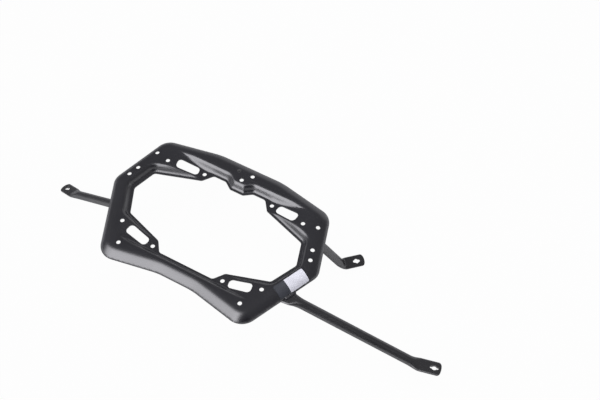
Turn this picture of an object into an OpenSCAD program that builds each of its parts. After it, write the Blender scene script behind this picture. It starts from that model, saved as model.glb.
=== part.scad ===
// Side frame that carries a pannier on a motorbike: a pressed ring plate on four tube struts.
// The flat crest of the ring lies at z = 0 and faces out, and the struts reach back to the bike.
// The x axis runs along the plate, y runs across it, and the ring's opening is centred on the origin.

/* [Sheet] */
// Thickness of the pressed sheet
sheet_t = 2.5; // [2:0.1:3]
// Depth of the lip round the opening, below the crest
lip_drop = 15; // [12:0.5:16]
// Width of the flat part of the lip
lip_w = 2; // [1.5:0.5:4]
// Angle of the wall that rises from the lip
wall_angle = 70; // [62:1:75]
// Radius at the foot of that wall
wall_foot_r = 7; // [5:0.5:8]
// Radius where that wall meets the crest
wall_top_r = 4; // [3:0.5:5]
// Radius of the rounded outer flange
flange_r = 27; // [22:1:27]
// Depth of the rim's edge, below the crest
rim_drop = 16.5; // [14:0.5:17.5]
// Height of the straight land at the rim's edge
rim_land = 0.5; // [0.5:0.5:2]

/* [Ring outline] */
// Half length of the ring, to the point of each end
ring_half_l = 242; // [238:1:248]
// Distance of the upper corners from the end of the ring, along it
top_corner_in = 42; // [38:1:46]
// Height of the outer edge at the upper corners
top_corner_y = 134; // [131:1:138]
// Half length of the straight middle of the upper side
top_mid_x = 75; // [65:1:85]
// Height of the outer edge in the middle of the upper side
top_mid_y = 158; // [156:1:162]
// Distance of the lower corners from the end of the ring, along it
low_corner_in = 77; // [73:1:81]
// Height of the outer edge at the lower corners
low_corner_y = 168; // [165:1:174]
// Half length of the straight waist of the lower side
low_mid_x = 40; // [30:1:50]
// Height of the outer edge at the waist of the lower side
low_mid_y = 145; // [144:1:150]
// Radius of the outer corners
outer_corner_r = 36; // [28:1:42]

/* [Opening] */
// Width of the ring's band at its ends
end_band_w = 49.5; // [48:0.5:53]
// Width of the ring's band at the waist of the lower side
waist_band_w = 40.5; // [40:0.5:44]
// Distance of the upper tabs' root from the end of the opening, along the ring
top_root_in = 16; // [14.5:0.5:18.5]
// Height of the upper tabs' root
top_root_y = 50.5; // [47:0.5:54]
// Distance of the lower tabs' root from the end of the opening, along the ring
low_root_in = 27; // [24.5:0.5:29.5]
// Height of the lower tabs' root
low_root_y = 55; // [52:0.5:58]
// Distance of each tab's inner corner from the middle, along the ring
tab_tip_x = 78.5; // [75:0.5:81]
// Height of each tab's inner corner
tab_tip_y = 82.5; // [79:0.5:86]
// Distance of the notch beside each tab from the middle
notch_x = 62; // [58:0.5:65]
// Half width of the boss at its foot
boss_foot_x = 33; // [30:0.5:38]
// Half width of the boss at its nose
boss_nose_x = 15.5; // [13:0.5:18]
// Height of the boss's nose
boss_nose_y = 92; // [88:0.5:95]
// Radius of the opening's corners
open_corner_r = 9; // [6:0.5:11]

/* [Holes] */
// Diameter of the bolt holes in the plate
bolt_hole_d = 9; // [8.4:0.1:9.5]
// Distance of the four inner corner holes from the end of the opening, along the ring
corner_hole_in = 30.5; // [28.5:0.5:33.5]
// Half spacing of the four inner corner holes, across the ring
corner_hole_y = 84; // [82:0.5:86]
// Half spacing of the four tab holes, along the ring
tab_hole_x = 81.5; // [80:0.5:84]
// Half spacing of the four tab holes, across the ring
tab_hole_y = 98.5; // [97:0.5:99.5]
// Distance of the two outer holes of the upper corners from those corners, along the ring
top_outer_hole_in = 7; // [5:0.5:10]
// Height of the two outer holes of the upper corners
top_outer_hole_y = 90.5; // [88:0.5:93]
// Distance of the two outer holes of the lower corners from those corners, along the ring
low_outer_hole_in = 25; // [22:0.5:28]
// Height of the two outer holes of the lower corners
low_outer_hole_y = 129.5; // [127:0.5:132]
// Distance of the upper holes in the ends from the end of the ring, along it
end_hole_in = 34.5; // [33:0.5:36]
// Height of the upper holes in the ends
end_hole_y = 39.5; // [37:0.5:41]
// Spacing of the two holes in each end
end_hole_pitch = 23; // [20:0.5:25]
// Height of the two upper holes in the boss
boss_hole_y = 133.5; // [131:0.5:135]
// Half spacing of the two upper holes in the boss
boss_hole_x = 16; // [14:0.5:18]
// Height of the lower hole in the boss
boss_low_hole_y = 115.5; // [113:0.5:118]

/* [Slots] */
// Length of the slot in each tab
slot_l = 49; // [44:0.5:51]
// Width of the slot at its wide end
slot_w = 22; // [19:0.5:22.5]
// Width of the slot at its narrow end
slot_narrow_w = 19; // [17:0.5:20]
// Radius of the slot's corners
slot_r = 8; // [6:0.5:8.5]
// Distance from the corner hole to the middle of the slot
slot_mid = 44; // [42:0.5:45]
// Distance of the slot's middle outward from the line of the holes
slot_out = 3; // [2:0.5:4]

/* [Tubes] */
// Outer diameter of the three shorter struts' tube
tube_d = 18; // [16:0.5:19]
// Outer diameter of the long strut's tube
long_tube_d = 20; // [18:0.5:21]
// Wall of the tubes
tube_wall = 2; // [1.5:0.1:2.5]
// Thickness of the flattened ends
flat_t = 6; // [5:0.5:7]
// Length over which a tube changes to its flattened end
taper_l = 26; // [22:1:30]
// Distance from the bolt hole to the end of a flattened end
end_margin = 14; // [12:0.5:16]
// Diameter of the bolt hole in a flattened end
end_hole_d = 11; // [9:0.5:12]
// Length of the narrow slot through that hole
end_slot_l = 18; // [16:0.5:19]
// Width of that slot
end_slot_w = 6; // [5:0.5:7]

/* [Strut places] */
// Distance of the long strut's root from the lower corner, along the rim
long_root_run = 116.1; // [110:0.1:120]
// Distance of that root outward from the rim
long_root_out = 7.3; // [6:0.1:9]
// Length of that flattened root
long_root_l = 30; // [26:1:34]
// From that root to the bend at the start of the flattened end
long_reach = [258, 28.5, -84.2];
// From that bend to the bolt hole
long_flat = [37, 7.5, 2.5];
// Lean of the long strut's flattened end
long_lean = 6; // [-15:1:15]
// Distance of the end strut's root from the end of the opening, along its edge
end_root_run = 48.6; // [46:0.1:51]
// Distance of that root outward from that edge
end_root_out = 12.2; // [11.5:0.1:13]
// Distance of that root below the lip
end_root_low = 0.5; // [0:0.5:2]
// From that root to the bend
end_reach = [-154.5, 12, -82];
// From that bend to the bolt hole
end_flat = [-32.5, 8, -14];
// Lean of the end strut's flattened end
end_lean = -4; // [-15:1:15]
// Distance of the right boss strut's root from the end of the ring, along the rim
right_root_run = 71.9; // [70:0.1:76]
// Distance of that root inward from the rim
right_root_in = 20.4; // [19:0.1:22]
// From that root to the bend
right_reach = [46.5, 38.5, -124];
// From that bend to the bolt hole
right_flat = [22.5, 25.5, -7];
// Distance of the left boss strut's root from the upper side's middle part, along the rim
left_root_run = 47.3; // [44:0.1:60]
// Distance of that root inward from the rim
left_root_in = 23.5; // [22:0.1:25]
// From that root to the bend
left_reach = [23.5, 40, -97.5];
// From that bend to the bolt hole
left_flat = [20.5, 37, -21];

/* [Welds] */
// Leg of the weld beads round the roots
weld_leg = 4; // [3:0.5:5]
// Clearance between the tubes and the sheet
root_fit = 0.3; // [0.2:0.1:0.5]
// Clearance between the weld beads and the wall beside them
bead_fit = 1.1; // [0.9:0.1:1.3]

/* [Label] */
// Distance from the end of the ring to the label
label_start = 21; // [16:1:26]
// Length of the adhesive label
label_l = 69; // [60:1:74]
// Part of the label's width that lies on the flat crest
label_flat_w = 3.5; // [2:0.5:5]
// Angle over which the label wraps down the flange
label_wrap = 56; // [45:1:60]
// Thickness of the label
label_t = 0.3; // [0.2:0.1:0.5]

/* [Hidden] */
coat = [0.10, 0.10, 0.11];
tube_coat = [0.08, 0.08, 0.09];
weld_coat = [0.13, 0.13, 0.14];
label_white = [0.90, 0.90, 0.94];
eps = 0.01;

function sq(a) = a * a;
function unit(v) = v / norm(v);
function mix(a, b, t) = a + (b - a) * t;
function clamp01(t) = min(1, max(0, t));

// The corners and holes keep their distances from the ends, and the opening follows the outer edge
// at the widths of the band.
top_corner_x = ring_half_l - top_corner_in;
low_corner_x = ring_half_l - low_corner_in;
open_half_l = ring_half_l - end_band_w;
open_half_h = low_mid_y - waist_band_w;
top_root_x = open_half_l - top_root_in;
low_root_x = open_half_l - low_root_in;
corner_hole_x = open_half_l - corner_hole_in;
top_outer_hole_x = top_corner_x - top_outer_hole_in;
low_outer_hole_x = low_corner_x - low_outer_hole_in;
end_hole_x = ring_half_l - end_hole_in;

// Corners of the outer edge and of the opening, anticlockwise from the +x end.
// Each is [x, y, corner radius].
outer_top_half = [[ring_half_l, 0, 30], [top_corner_x, top_corner_y, outer_corner_r],
    [top_mid_x, top_mid_y, 150]];
outer_low_half = [[low_mid_x, -low_mid_y, 150], [low_corner_x, -low_corner_y, outer_corner_r]];
open_top_half = [[open_half_l, 0, open_corner_r], [top_root_x, top_root_y, open_corner_r],
    [tab_tip_x, tab_tip_y, open_corner_r], [notch_x, open_half_h, open_corner_r],
    [boss_foot_x, open_half_h, open_corner_r], [boss_nose_x, boss_nose_y, open_corner_r]];
open_low_half = [[notch_x, -open_half_h, open_corner_r],
    [tab_tip_x, -tab_tip_y, open_corner_r], [low_root_x, -low_root_y, open_corner_r]];
// The band's own inner edge, as it would run without the tabs.
top_root_slope = (open_half_l - top_root_x) / top_root_y;
low_root_slope = (open_half_l - low_root_x) / low_root_y;
band_top_half = [[open_half_l, 0, open_corner_r],
    [open_half_l - top_root_slope * open_half_h, open_half_h, 1],
    [boss_foot_x, open_half_h, open_corner_r], [boss_nose_x, boss_nose_y, open_corner_r]];
band_low_half = [[open_half_l - low_root_slope * open_half_h, -open_half_h, 1]];

function flipped(c) = [for (i = [len(c) - 1:-1:0]) [-c[i][0], c[i][1], c[i][2]]];
function without_first(c) = [for (i = [1:len(c) - 1]) c[i]];
function closed_outline(top, low) = concat(top, flipped(without_first(top)),
    [[-top[0][0], top[0][1], top[0][2]]], flipped(low), low);

// A corner as an arc of the given number of steps, tangent to both its sides.
function corner_arc(a, b, c, r, steps) =
    let (u = unit(a - b), v = unit(c - b), half = acos(u * v) / 2)
    let (back = min(r / tan(half), 0.48 * min(norm(a - b), norm(c - b))), rr = back * tan(half))
    let (centre = b + unit(u + v) * rr / sin(half), p = b + u * back - centre, q = b + v * back - centre)
    let (sweep = 180 - 2 * half, side = sign(p[0] * q[1] - p[1] * q[0]))
    [for (k = [0:steps]) let (w = side * sweep * k / steps)
        centre + [p[0] * cos(w) - p[1] * sin(w), p[0] * sin(w) + p[1] * cos(w)]];
function xy(c) = [c[0], c[1]];
function rounded(c, steps) = [for (i = [0:len(c) - 1])
    each corner_arc(xy(c[(i + len(c) - 1) % len(c)]), xy(c[i]), xy(c[(i + 1) % len(c)]), c[i][2], steps)];
outer_edge = rounded(closed_outline(outer_top_half, outer_low_half), 4);
band_edge = rounded(closed_outline(band_top_half, band_low_half), 2);
open_edge = rounded(closed_outline(open_top_half, open_low_half), 2);

function sorted(v) = len(v) <= 1 ? v :
    let (m = v[floor(len(v) / 2)])
    concat(sorted([for (a = v) if (a < m) a]), [for (a = v) if (a == m) a], sorted([for (a = v) if (a > m) a]));
// Directions from the origin at which the ring has a section: through every corner of both edges,
// and between them wherever two would be far apart.
open_turns = [for (p = open_edge) atan2(p[1], p[0])];
outer_turns = [for (p = outer_edge) let (w = atan2(p[1], p[0]))
    if (min([for (a = open_turns) abs(a - w)]) > 1) w];
corner_turns = sorted(concat(open_turns, outer_turns));
turns = [for (i = [0:len(corner_turns) - 1])
    let (a = corner_turns[i], b = i + 1 < len(corner_turns) ? corner_turns[i + 1] : corner_turns[0] + 360)
    let (n = max(1, ceil((b - a) / 8)))
    each [for (k = [0:n - 1]) mix(a, b, k / n)]];
stations = len(turns);

// Where a ray from the origin in direction d leaves an outline: [distance, cosine of obliquity].
function cross2(a, b) = a[0] * b[1] - a[1] * b[0];
function ray_hits(d, p) = [for (i = [0:len(p) - 1])
    let (a = p[i], e = p[(i + 1) % len(p)] - a, den = cross2(d, e))
    if (abs(den) > 1e-9)
        let (t = cross2(a, e) / den, s = cross2(a, d) / den)
        if (t > 0 && s > -1e-6 && s < 1 + 1e-6) [t, abs(den) / norm(e)]];
function ray_to(d, p) = let (h = ray_hits(d, p)) h[0];

// Height of the wall that rises from the lip, at distance d outward from the edge.
// The sheet's depth below its outer face is t, 0 for the outer face itself.
function foot_run(t) = (wall_foot_r + t) * sin(wall_angle);
function top_run(t) = (wall_top_r - t) * sin(wall_angle);
function arc_drop(r, s) = r - sqrt(max(0, sq(r) - sq(s)));
foot_rise = wall_foot_r * (1 - cos(wall_angle));
top_rise = wall_top_r * (1 - cos(wall_angle));
face_run = (lip_drop - foot_rise - top_rise) / tan(wall_angle);
wall_run = foot_run(0) + face_run + top_run(0);
function wall_z(d, t) = let (s = d - lip_w)
    s <= 0 ? -lip_drop - t :
    s < foot_run(t) ? -lip_drop - t + arc_drop(wall_foot_r + t, s) :
    s < wall_run - top_run(t) ?
        -lip_drop + foot_rise - t * cos(wall_angle) + (s - foot_run(t)) * tan(wall_angle) :
    s < wall_run ? -t - arc_drop(wall_top_r - t, wall_run - s) : -t;

// Height of the outer flange, at distance d inward from the rim.
flange_run = sqrt(sq(flange_r) - sq(flange_r - rim_drop + rim_land));
function flange_z(d, t) = d >= flange_run ? -t : -t - arc_drop(flange_r - t, flange_run - d);

// Height of a tab: a ramp from the crest at the corner hole to the lip's level at the tab hole.
function tab_z(x, t) = -lip_drop * clamp01((corner_hole_x - abs(x)) / (corner_hole_x - tab_hole_x)) - t;

// Distances across the band at which the section has a point, on each face of the sheet.
function wall_steps(t) = [for (s = [0, foot_run(t) * 0.55, foot_run(t), wall_run - top_run(t),
    wall_run - top_run(t) * 0.6, wall_run]) lip_w + s];
function band_steps(t) = [for (s = [0, foot_run(t), wall_run - top_run(t), wall_run]) lip_w + s];
function flange_reach(t) = t == 0 ? flange_run : sqrt(sq(flange_r - t) - sq(flange_r - rim_drop));
function flange_steps(t) = [for (k = [0:5]) flange_run - flange_reach(t) * sin(13 * k) / sin(65)];

// One face of the ring's section along a ray, as [distance from the origin, z].
function face_of(d, t) =
    let (inner = ray_to(d, open_edge), base = ray_to(d, band_edge), rim = ray_to(d, outer_edge))
    let (at_open = [for (s = wall_steps(t)) inner[0] + s / inner[1]])
    let (at_rim = [for (s = flange_steps(t)) rim[0] - s / rim[1]])
    let (crest = inner[0] + (lip_w + wall_run) / inner[1], is_tab = base[0] - inner[0] > 1)
    let (at_base = [for (k = [0:3])
        is_tab ? base[0] + band_steps(t)[k] / base[1] : mix(crest, at_rim[0], (k + 1) / 5)])
    let (marks = sorted(concat(at_open, at_base, at_rim)))
    concat([[inner[0], -lip_drop - t]],
        [for (m = marks)
            let (open_z = wall_z((m - inner[0]) * inner[1], t), rim_z = flange_z((rim[0] - m) * rim[1], t))
            let (base_z = max(wall_z((m - base[0]) * base[1], t), tab_z((d * m)[0], t)))
            let (z = min(open_z, rim_z, base_z))
            [m, (rim[0] - m) * rim[1] < flange_run ? max(z, -rim_drop) : z]],
        t == 0 ? [[rim[0], -rim_drop]] : []);

module pressed_sheet() {
    dirs = [for (w = turns) [cos(w), sin(w)]];
    rings = [for (d = dirs)
        let (top = face_of(d, 0), below = face_of(d, sheet_t))
        [for (q = concat(top, [for (k = [len(below) - 1:-1:0]) below[k]])) [d[0] * q[0], d[1] * q[0], q[1]]]];
    loop = len(rings[0]);
    faces = [for (i = [0:stations - 1], k = [0:loop - 1])
        let (a = i * loop + k, b = i * loop + (k + 1) % loop)
        let (j = (i + 1) % stations, c = j * loop + (k + 1) % loop, e = j * loop + k)
        each [[a, c, b], [a, e, c]]];
    polyhedron(points = [for (r = rings) each r], faces = faces, convexity = 10);
}

// A cylinder from p to q.
module rod(p, q, d) {
    v = q - p;
    translate(p)
        rotate([0, acos(v[2] / norm(v)), atan2(v[1], v[0])])
            cylinder(h = norm(v), d = d, $fn = 64);
}

module bolt_holes() {
    for (x = [-1, 1]) {
        for (y = [-1, 1]) {
            translate([x * corner_hole_x, y * corner_hole_y, -30])
                cylinder(h = 40, d = bolt_hole_d, $fn = 48);
            translate([x * tab_hole_x, y * tab_hole_y, -30])
                cylinder(h = 40, d = bolt_hole_d, $fn = 48);
        }
        translate([x * top_outer_hole_x, top_outer_hole_y, -30])
            cylinder(h = 40, d = bolt_hole_d, $fn = 48);
        translate([x * low_outer_hole_x, -low_outer_hole_y, -30])
            cylinder(h = 40, d = bolt_hole_d, $fn = 48);
        translate([x * end_hole_x, end_hole_y, -30])
            cylinder(h = 40, d = bolt_hole_d, $fn = 48);
        translate([x * (end_hole_x + end_hole_pitch * end_slope), end_hole_y - end_hole_pitch * end_rise, -30])
            cylinder(h = 40, d = bolt_hole_d, $fn = 48);
        translate([x * boss_hole_x, boss_hole_y, -30])
            cylinder(h = 40, d = bolt_hole_d, $fn = 48);
    }
    translate([0, boss_low_hole_y, -30])
        cylinder(h = 40, d = bolt_hole_d, $fn = 48);
}

// The two holes in each end follow the straight edge of the ring.
end_edge = unit([ring_half_l - top_corner_x, top_corner_y]);
end_slope = end_edge[0];
end_rise = end_edge[1];

// A slot lies along the line from a corner hole to the tab hole beside it.
slot_line = [corner_hole_x - tab_hole_x, tab_hole_y - corner_hole_y];
slot_plan = rounded([[-slot_l / 2, -slot_w / 2, slot_r], [slot_l / 2, -slot_w / 2, slot_r],
    [slot_l / 2, slot_narrow_w - slot_w / 2, slot_r], [-slot_l / 2, slot_w / 2, slot_r]], 6);
module tab_slots() {
    for (x = [0, 1], y = [0, 1])
        mirror([x, 0, 0])
            mirror([0, y, 0])
                translate([corner_hole_x, corner_hole_y, -30])
                    rotate([0, 0, atan2(slot_line[1], -slot_line[0])])
                        translate([slot_mid, -slot_out, 0])
                            mirror([0, 1, 0])
                                linear_extrude(height = 40)
                                    polygon(slot_plan);
}

module ring_plate() color(coat) difference() {
    pressed_sheet();
    bolt_holes();
    tab_slots();
}

// The room under the sheet beside a straight part of the rim from p to q, seen from outside.
function flank_angle(p, q) = atan2(p[0] - q[0], q[1] - p[1]);
function flank_reach(p, q) = cross2(p, q) / norm(q - p);
module room_under(p, q, fit) {
    r = flange_r - sheet_t - fit;
    foot = acos((flange_r - rim_drop - fit) / r);
    rotate([0, 0, flank_angle(p, q)])
        translate([flank_reach(p, q) - flange_run, 400, 0])
            rotate([90, 0, 0])
                linear_extrude(height = 800)
                    polygon(concat([[-60, -300], [-60, -sheet_t - fit]],
                        [for (k = [0:16]) [r * sin(foot * k / 16), r * cos(foot * k / 16) - flange_r]],
                        [[300, -rim_drop - fit], [300, -300]]));
}

// Ring of points of a tube that is part way (t) to its flattened form.
function squashed(c, side, face, half_w, half_t, t) = [for (k = [0:27])
    let (u = cos(k * 360 / 28), v = sin(k * 360 / 28), p = mix(1, 0.55, t))
    c + side * half_w * sign(u) * pow(abs(u), p) + face * half_t * sign(v) * pow(abs(v), p)];
module loft(rings) {
    n = len(rings[0]);
    m = len(rings);
    polyhedron(points = [for (r = rings) each r],
        faces = concat([[for (k = [0:n - 1]) k]],
            [for (i = [0:m - 2], k = [0:n - 1])
                let (a = i * n + k, b = i * n + (k + 1) % n)
                each [[a, a + n, b], [b, a + n, b + n]]],
            [[for (k = [n - 1:-1:0]) (m - 1) * n + k]]), convexity = 6);
}
// Width to which a round tube spreads when it is pressed flat.
function flat_width(d) = PI * (d - tube_wall) / 2 + tube_wall - flat_t * 0.2;
function bezier(a, b, c, t) = a * sq(1 - t) + b * 2 * t * (1 - t) + c * sq(t);

// Step where a tube passes into its pressed end.
seam = 0.15;
// A tube pressed flat beyond its bend, with a rounded end past the bolt hole.
// The share of the taper that lies beyond the bend is past.
module flattened_end(root, bend, bolt, face, d, past = 0.4) {
    along = unit(bend - root);
    flat = unit(bolt - bend);
    side_b = unit(cross(face, flat));
    face_b = cross(flat, side_b);
    side_a = unit(cross(face_b, along));
    face_a = cross(along, side_a);
    hw = flat_width(d) / 2;
    start = bend - along * taper_l * (1 - past);
    stop = bend + flat * taper_l * past;
    tip = bolt + flat * (end_margin - hw * 0.8);
    rings = concat(
        [squashed(start - along, side_a, face_a, d / 2 - seam, d / 2 - seam, 0)],
        [for (k = [0:8])
            let (t = k / 8, e = t * t * (3 - 2 * t))
            squashed(bezier(start, bend, stop, t), unit(mix(side_a, side_b, t)), unit(mix(face_a, face_b, t)),
                mix(d / 2 - seam, hw, e), mix(d / 2 - seam, flat_t / 2, e), e)],
        [for (w = [0, 30, 50, 66, 80])
            squashed(tip + flat * hw * 0.8 * sin(w) / sin(80), side_b, face_b, hw * cos(w * 0.93), flat_t / 2, 1)]);
    loft(rings);
}
module bolt_slot(bend, bolt, face) {
    flat = unit(bolt - bend);
    side = unit(cross(face, flat));
    normal = cross(flat, side);
    rod(bolt - normal * 20, bolt + normal * 20, end_hole_d);
    translate(bolt)
        multmatrix([[flat[0], side[0], normal[0], 0], [flat[1], side[1], normal[1], 0],
            [flat[2], side[2], normal[2], 0], [0, 0, 0, 1]]) {
            translate([-(end_slot_l - end_slot_w) / 2, -end_slot_w / 2, -20])
                cube([end_slot_l - end_slot_w, end_slot_w, 40]);
            for (x = [-1, 1])
                translate([x * (end_slot_l - end_slot_w) / 2, 0, -20])
                    cylinder(h = 40, d = end_slot_w, $fn = 32);
        }
}

// A strut whose round root is cut to the underside of the sheet beside the rim from p to q.
module rooted_strut(root, bend, bolt, face, p, q) {
    along = unit(bend - root);
    difference() {
        union() {
            intersection() {
                rod(root - along * 30, bend - along * (taper_l * 0.6 - seam), tube_d);
                room_under(p, q, root_fit);
            }
            flattened_end(root, bend, bolt, face, tube_d);
        }
        rod(root - along * 31, bend - along * taper_l * 0.7, tube_d - 2 * tube_wall);
        bolt_slot(bend, bolt, face);
    }
}
// Its weld: a collar that narrows away from the sheet.
module root_weld(root, bend, p, q) {
    v = unit(bend - root);
    inner = tube_d / 2 + root_fit / 6;
    intersection() {
        room_under(p, q, root_fit);
        translate(root - v * weld_leg)
            rotate([0, acos(v[2]), atan2(v[1], v[0])])
                rotate_extrude($fn = 64)
                    polygon([[inner, 0], [inner + 1.2 * weld_leg, 0], [inner, 4 * weld_leg]]);
    }
}

// What a tube must keep clear of beside the wall that rises from an edge of the opening.
module wall_side(p, q, fit) {
    foot = flank_reach(p, q) + lip_w + foot_run(0) + sheet_t / sin(wall_angle) + fit;
    knee = foot_rise - lip_drop;
    shoulder = [foot - (sheet_t + 1 + knee) / tan(wall_angle), -sheet_t - 1];
    rotate([0, 0, flank_angle(p, q)])
        rotate([90, 0, 0])
            translate([0, 0, -300])
                linear_extrude(height = 600)
                    polygon([[0, -3 * flange_r], [foot, -3 * flange_r], [foot, knee], shoulder, shoulder + [1.6, 1.1], [0, 0]]);
}

// The same where two edges of the opening meet at the root of the upper tab.
module opening_corner(fit) intersection() {
    wall_side(open_end, open_top, fit);
    wall_side(open_top, tab_tip, fit);
}

function leaned(flat, lean) =
    let (level = unit(cross([0, 0, 1], flat)), up = cross(flat, level))
    up * cos(lean) + level * sin(lean);
function bend_face(root, bend, bolt) = unit(cross(unit(bend - root), unit(bolt - bend)));

end_vertex = [ring_half_l, 0];
top_vertex = [top_corner_x, top_corner_y];
low_vertex = [low_corner_x, -low_corner_y];
mid_vertex = [top_mid_x, top_mid_y];
open_end = [open_half_l, 0];
open_low = [low_root_x, -low_root_y];
open_top = [top_root_x, top_root_y];
band_foot = [notch_x, open_half_h];
tab_tip = [tab_tip_x, tab_tip_y];
function left(v) = [-v[0], v[1]];

// A point beside the straight edge from p to q: its distances from p and inward, and its height.
function beside_edge(p, q, run, inward, z) = let (e = unit(q - p))
    [p[0] + e[0] * run - e[1] * inward, p[1] + e[1] * run + e[0] * inward, z];

// The long strut's root is pressed flat and slides under the rim's edge.
long_root = beside_edge(low_vertex, end_vertex, long_root_run, -long_root_out, -rim_drop - root_fit - flat_t / 2);
long_bend = long_root + long_reach;
long_bolt = long_bend + long_flat;
end_root = beside_edge(left(open_end), left(open_low), end_root_run, -end_root_out, -lip_drop - end_root_low);
end_bend = end_root + end_reach;
end_bolt = end_bend + end_flat;
right_root = beside_edge(end_vertex, top_vertex, right_root_run, right_root_in, -sheet_t);
right_bend = right_root + right_reach;
right_bolt = right_bend + right_flat;
left_root = beside_edge(left(mid_vertex), left(top_vertex), left_root_run, left_root_in, -sheet_t);
left_bend = left_root + left_reach;
left_bolt = left_bend + left_flat;

long_face = leaned(unit(long_bolt - long_bend), long_lean);
end_face = leaned(unit(end_bolt - end_bend), end_lean);
right_face = bend_face(right_root, right_bend, right_bolt);
left_face = bend_face(left_root, left_bend, left_bolt);

long_inward = unit([long_root[0] - long_bend[0], long_root[1] - long_bend[1], 0]);
long_root_tip = long_root + long_inward * (long_root_l - end_margin);
module long_strut() color(tube_coat) {
    along = unit(long_bend - long_root);
    difference() {
        union() {
            rod(long_root + along * (taper_l * 0.9 - seam), long_bend - along * (taper_l * 0.6 - seam), long_tube_d);
            flattened_end(long_root, long_bend, long_bolt, long_face, long_tube_d);
            flattened_end(long_bend, long_root, long_root_tip, [0, 0, 1], long_tube_d, 0.1);
        }
        rod(long_root + along * taper_l, long_bend - along * taper_l * 0.7,
            long_tube_d - 2 * tube_wall);
        bolt_slot(long_bend, long_bolt, long_face);
    }
}
module end_strut() color(tube_coat) difference() {
    rooted_strut(end_root, end_bend, end_bolt, end_face, left(end_vertex), left(low_vertex));
    wall_side(left(open_end), left(open_low), root_fit);
}
module right_boss_strut() color(tube_coat) difference() {
    rooted_strut(right_root, right_bend, right_bolt, right_face, end_vertex, top_vertex);
    opening_corner(root_fit);
}
module left_boss_strut() color(tube_coat) difference() {
    rooted_strut(left_root, left_bend, left_bolt, left_face, left(mid_vertex), left(top_vertex));
    wall_side(band_foot, left(band_foot), root_fit);
}

// The long strut's weld runs in the corner between the rim and the flattened root.
module long_strut_weld() color(weld_coat) {
    reach = flank_reach(low_vertex, end_vertex);
    lie = reach - flange_run + sqrt(sq(flange_r) - sq(flange_r - rim_drop + weld_leg));
    turn = flank_angle(low_vertex, end_vertex);
    place = long_root[0] * -sin(turn) + long_root[1] * cos(turn);
    bead_l = flat_width(long_tube_d) - weld_leg;
    rotate([0, 0, turn])
        translate([0, place + bead_l / 2, 0])
            rotate([90, 0, 0])
                linear_extrude(height = bead_l)
                    polygon([[reach + 0.1, root_fit - rim_drop],
                        [reach + weld_leg, root_fit - rim_drop],
                        [reach + weld_leg * 0.4, weld_leg * 0.6 - rim_drop],
                        [lie + 0.2, weld_leg - rim_drop], [reach + 0.1, rim_land - rim_drop]]);
}
module end_strut_weld() color(weld_coat) intersection() {
    difference() {
        root_weld(end_root, end_bend, left(end_vertex), left(low_vertex));
        wall_side(left(open_end), left(open_low), root_fit);
    }
    translate([end_root[0] - 2 * tube_d, end_root[1] - 2 * tube_d, -lip_drop])
        cube([4 * tube_d, 4 * tube_d, lip_drop]);
}
module right_boss_strut_weld() color(weld_coat) difference() {
    root_weld(right_root, right_bend, end_vertex, top_vertex);
    opening_corner(bead_fit);
}
module left_boss_strut_weld() color(weld_coat) difference() {
    root_weld(left_root, left_bend, left(mid_vertex), left(top_vertex));
    wall_side(band_foot, left(band_foot), bead_fit);
}

// The blank adhesive label lies on the crest and wraps down the flange.
module blank_label() color(label_white) {
    reach = flank_reach(low_vertex, end_vertex) - flange_run;
    lift = 0.25;
    steps = 12;
    low = [for (k = [0:steps]) let (w = label_wrap * k / steps)
        [reach + (flange_r + lift) * sin(w), (flange_r + lift) * cos(w) - flange_r]];
    high = [for (k = [steps:-1:0]) let (w = label_wrap * k / steps)
        [reach + (flange_r + lift + label_t) * sin(w), (flange_r + lift + label_t) * cos(w) - flange_r]];
    turn = flank_angle(low_vertex, end_vertex);
    from_end = ring_half_l * -sin(turn) - label_start;
    rotate([0, 0, turn])
        translate([0, from_end, 0])
            rotate([90, 0, 0])
                linear_extrude(height = label_l)
                    polygon(concat([[reach - label_flat_w, lift]], low, high,
                        [[reach - label_flat_w, lift + label_t]]));
}

ring_plate();
long_strut();
end_strut();
right_boss_strut();
left_boss_strut();
long_strut_weld();
end_strut_weld();
right_boss_strut_weld();
left_boss_strut_weld();
blank_label();
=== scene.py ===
"""Dresses the side frame of a pannier carrier: a pressed ring plate on four welded tube struts.

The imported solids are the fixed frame. Each is replaced by a finer mesh of the same piece, made from
the same sizes, with a satin powder coat, and one blank label lies on the ring's flange.
All lengths below are in millimetres until a mesh is made, which is in metres.
"""

from __future__ import annotations

import logging
import math
from dataclasses import dataclass, field
from enum import Enum
from typing import Iterable, Sequence

import bmesh
import bpy
import numpy as np
from mathutils import Matrix, Vector
from mathutils.geometry import delaunay_2d_cdt

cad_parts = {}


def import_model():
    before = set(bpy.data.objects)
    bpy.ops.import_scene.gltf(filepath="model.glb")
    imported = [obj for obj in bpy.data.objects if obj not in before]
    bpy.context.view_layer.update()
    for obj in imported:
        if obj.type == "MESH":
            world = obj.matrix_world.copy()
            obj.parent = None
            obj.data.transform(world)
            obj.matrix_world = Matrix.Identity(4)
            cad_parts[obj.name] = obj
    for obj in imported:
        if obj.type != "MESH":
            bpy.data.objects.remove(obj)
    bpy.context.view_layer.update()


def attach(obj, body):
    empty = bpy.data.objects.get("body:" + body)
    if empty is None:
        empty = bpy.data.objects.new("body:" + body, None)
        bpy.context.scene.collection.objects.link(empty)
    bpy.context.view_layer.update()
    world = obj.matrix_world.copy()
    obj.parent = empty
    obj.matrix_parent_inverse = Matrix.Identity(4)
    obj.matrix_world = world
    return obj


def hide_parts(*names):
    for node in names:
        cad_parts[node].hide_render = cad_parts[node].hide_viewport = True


log = logging.getLogger("side_frame")
MM = 0.001
WHITE = (1.0, 1.0, 1.0, 1.0)
SHARP_DEG = 35.0
# Largest share of a side that the arc at one of its ends takes up
SIDE_SHARE = 0.48
# A direction that no tube runs in
ASKEW = (0.3, 1.0, 0.2)
# What the plan triangulation keeps, and the distance within which it joins points
WHOLE_PLAN, INSIDE_ONLY, JOIN_WITHIN = 0, 1, 1e-6
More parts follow.
